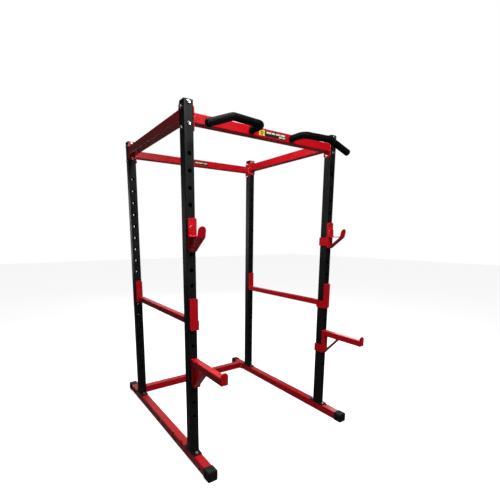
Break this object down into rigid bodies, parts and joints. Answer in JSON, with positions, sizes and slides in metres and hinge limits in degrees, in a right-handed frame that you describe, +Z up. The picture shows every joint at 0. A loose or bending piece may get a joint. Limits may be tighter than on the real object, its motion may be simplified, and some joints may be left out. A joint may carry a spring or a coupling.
{
  "type": "power cage",
  "caption": "Free-standing cage of drilled square-tube uprights on floor runners, with a pull-up beam and grips, and with hooks, spotter arms and safety bars on round pegs.",
  "frame": {"origin": "on the floor, at the middle of the whole outline in X and in Y", "axes": "+Z up, the front with the pull-up grips faces -Y, +X to the right of someone who looks at the front"},
  "size_m": [1.2768, 1.66, 2.2],
  "materials": {
    "red_powder": "glossy red powder coat",
    "black_powder": "satin black powder coat",
    "zinc": "bright zinc plate",
    "cap_rubber": "moulded black rubber",
    "grip_foam": "closed-cell foam with a soft sheen",
    "black_plastic": "moulded plastic",
    "label": null
  },
  "bodies": {
    "frame": {"base_runner_left": "red_powder", "base_runner_right": "red_powder", "base_crossmember": "red_powder", "top_side_tube_left": "red_powder", "top_side_tube_right": "red_powder", "top_crossmember": "red_powder", "pull_up_beam": "red_powder", "upright_front_left": "black_powder", "upright_front_right": "black_powder", "upright_rear_left": "black_powder", "upright_rear_right": "black_powder", "foot_plates": "black_powder", "handle_left": "black_powder", "handle_right": "black_powder", "foot_bolts": "zinc", "foot_nuts": "zinc", "base_bolts": "zinc", "base_nuts": "zinc", "side_tube_bolts": "zinc", "side_tube_nuts": "zinc", "beam_bolts": "zinc", "beam_nuts": "zinc", "crossmember_bolts": "zinc", "crossmember_nuts": "zinc", "washers": "zinc", "front_runner_caps": "cap_rubber", "rear_runner_caps": "cap_rubber", "grip_left": "grip_foam", "grip_right": "grip_foam", "upright_plugs": "black_plastic", "handle_plugs": "black_plastic", "beam_label": "label", "crossmember_label": "label"},
    "j_hook_peg_left": {"j_hook_peg_left": "black_powder"},
    "j_hook_left": {"j_hook_plate_left": "red_powder", "j_hook_cradle_left": "red_powder", "j_hook_brace_left": "red_powder"},
    "spotter_peg_left": {"spotter_peg_left": "black_powder"},
    "spotter_left": {"spotter_back_left": "red_powder", "spotter_arm_left": "red_powder", "spotter_tip_left": "red_powder", "spotter_brace_left": "red_powder"},
    "safety_left": {"safety_bar_left": "red_powder", "safety_front_bracket_left": "red_powder", "safety_rear_bracket_left": "red_powder", "safety_pegs_left": "black_powder"},
    "j_hook_peg_right": {"j_hook_peg_right": "black_powder"},
    "j_hook_right": {"j_hook_plate_right": "red_powder", "j_hook_cradle_right": "red_powder", "j_hook_brace_right": "red_powder"},
    "spotter_peg_right": {"spotter_peg_right": "black_powder"},
    "spotter_right": {"spotter_back_right": "red_powder", "spotter_arm_right": "red_powder", "spotter_tip_right": "red_powder", "spotter_brace_right": "red_powder"},
    "safety_right": {"safety_bar_right": "red_powder", "safety_front_bracket_right": "red_powder", "safety_rear_bracket_right": "red_powder", "safety_pegs_right": "black_powder"}
  },
  "joints": [
    {"name": "j_hook_pull_out_left", "type": "slide", "parent": "frame", "child": "j_hook_peg_left", "axis": [0, -1, 0], "range_m": [0, 0.07]},
    {"name": "j_hook_swing_left", "type": "hinge", "parent": "j_hook_peg_left", "child": "j_hook_left", "pos_m": [-0.6, -0.475, 1.542], "axis": [0, -1, 0], "range_deg": [0, 90]},
    {"name": "spotter_pull_out_left", "type": "slide", "parent": "frame", "child": "spotter_peg_left", "axis": [0, -1, 0], "range_m": [0, 0.07]},
    {"name": "spotter_swing_left", "type": "hinge", "parent": "spotter_peg_left", "child": "spotter_left", "pos_m": [-0.6, -0.475, 0.696], "axis": [0, -1, 0], "range_deg": [0, 90]},
    {"name": "safety_swing_left", "type": "hinge", "parent": "frame", "child": "safety_left", "pos_m": [-0.6, -0.475, 1.072], "axis": [0, -1, 0], "range_deg": [0, 90]},
    {"name": "j_hook_pull_out_right", "type": "slide", "parent": "frame", "child": "j_hook_peg_right", "axis": [0, -1, 0], "range_m": [0, 0.07]},
    {"name": "j_hook_swing_right", "type": "hinge", "parent": "j_hook_peg_right", "child": "j_hook_right", "pos_m": [0.6, -0.475, 1.542], "axis": [0, 1, 0], "range_deg": [0, 90]},
    {"name": "spotter_pull_out_right", "type": "slide", "parent": "frame", "child": "spotter_peg_right", "axis": [0, -1, 0], "range_m": [0, 0.07]},
    {"name": "spotter_swing_right", "type": "hinge", "parent": "spotter_peg_right", "child": "spotter_right", "pos_m": [0.6, -0.475, 0.696], "axis": [0, 1, 0], "range_deg": [0, 90]},
    {"name": "safety_swing_right", "type": "hinge", "parent": "frame", "child": "safety_right", "pos_m": [0.6, -0.475, 1.072], "axis": [0, 1, 0], "range_deg": [0, 90]}
  ]
}
